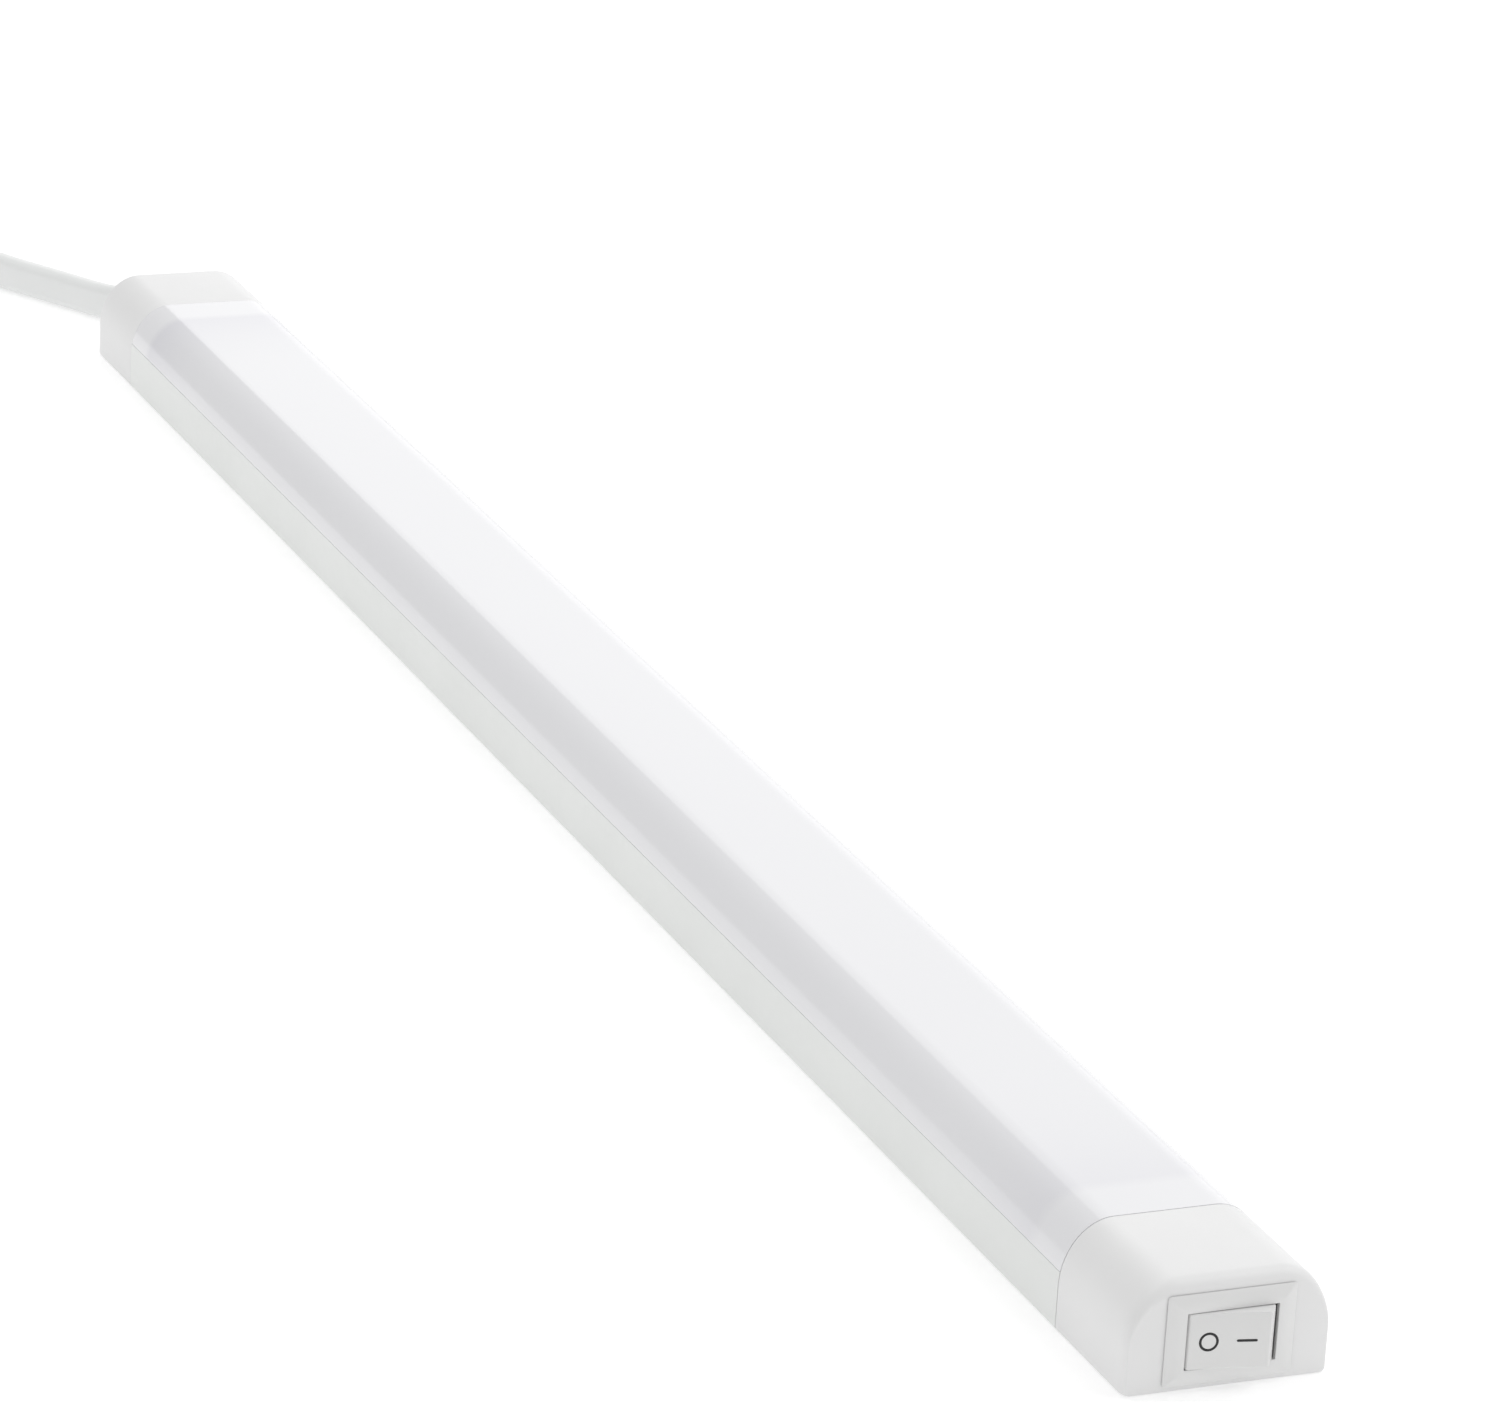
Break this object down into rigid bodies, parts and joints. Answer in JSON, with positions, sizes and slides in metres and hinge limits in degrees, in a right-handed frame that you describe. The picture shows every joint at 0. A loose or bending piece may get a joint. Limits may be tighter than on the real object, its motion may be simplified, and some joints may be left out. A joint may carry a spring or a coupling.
{
  "type": "led light tube",
  "caption": "Slim white led light bar with a milky diffuser, a rocker switch in one end cap and a flat mains lead leaving the other.",
  "frame": {"origin": "centre of the bar's box on its flat back face, the lead left out", "axes": "+X along the bar towards the switch end, +Y across it, +Z from the back face towards the diffuser"},
  "size_m": [0.6479, 0.0435, 0.025],
  "materials": {
    "housing": "satin extruded white plastic",
    "diffuser": "milky translucent, glossy",
    "end_cap": "matte moulded white plastic",
    "cord_grip": "matte moulded white plastic",
    "switch": "satin moulded white plastic",
    "led": "yellow phosphor in a white package",
    "board": "white solder resist",
    "component": "matte black moulded",
    "varistor": "dipped blue",
    "wire_brown": "satin insulation",
    "wire_blue": "satin insulation",
    "wire_black": "satin insulation",
    "steel": "zinc plated",
    "brass": "stamped brass",
    "copper": "stamped copper alloy",
    "cord": "smooth satin PVC",
    "plug": "satin moulded PVC",
    "pin": "nickel plated",
    "tie": "soft strap"
  },
  "bodies": {
    "root": {"bridge_rectifier": "component", "cap_screw_1": "steel", "cap_screw_2": "steel", "cap_screw_3": "steel", "cap_screw_4": "steel", "common_terminal": "brass", "cord": "cord", "cord_bush": "cord_grip", "cord_clamp": "cord_grip", "cord_clamp_screw_1": "steel", "cord_clamp_screw_2": "steel", "cord_end_cap": "end_cap", "cord_hank": "cord", "cord_inner_end": "cord", "cord_tail": "cord", "cord_tie": "tie", "diffuser": "diffuser", "driver_ic_1": "component", "driver_ic_2": "component", "fuse_resistor": "component", "housing": "housing", "led_01": "led", "led_02": "led", "led_03": "led", "led_04": "led", "led_05": "led", "led_06": "led", "led_07": "led", "led_08": "led", "led_09": "led", "led_10": "led", "led_11": "led", "led_12": "led", "led_13": "led", "led_14": "led", "led_15": "led", "led_16": "led", "led_17": "led", "led_18": "led", "led_19": "led", "led_20": "led", "led_board": "board", "live_wire": "wire_brown", "neutral_wire": "wire_blue", "plug_body": "plug", "plug_pin_1": "pin", "plug_pin_2": "pin", "smoothing_capacitor": "component", "switch_end_cap": "end_cap", "switch_frame": "switch", "switched_terminal": "brass", "switched_wire": "wire_black", "varistor": "varistor"},
    "rocker": {"rocker": "switch", "rocker_plunger": "brass", "plunger_spring": "steel"},
    "contact_lever": {"contact_lever": "copper"}
  },
  "joints": [
    {"name": "rocker_tilt", "type": "hinge", "parent": "root", "child": "rocker", "pos_m": [0.18654, 0, 0.0059], "axis": [0, 0, 1], "range_deg": [0, 20]},
    {"name": "lever_tilt", "type": "hinge", "parent": "root", "child": "contact_lever", "pos_m": [0.18234, 0, 0.0059], "axis": [0, 0, -1], "range_deg": [0, 12]}
  ],
  "couplings": [
    {"joint": "lever_tilt", "follows": "rocker_tilt", "ratio": 0.6}
  ]
}
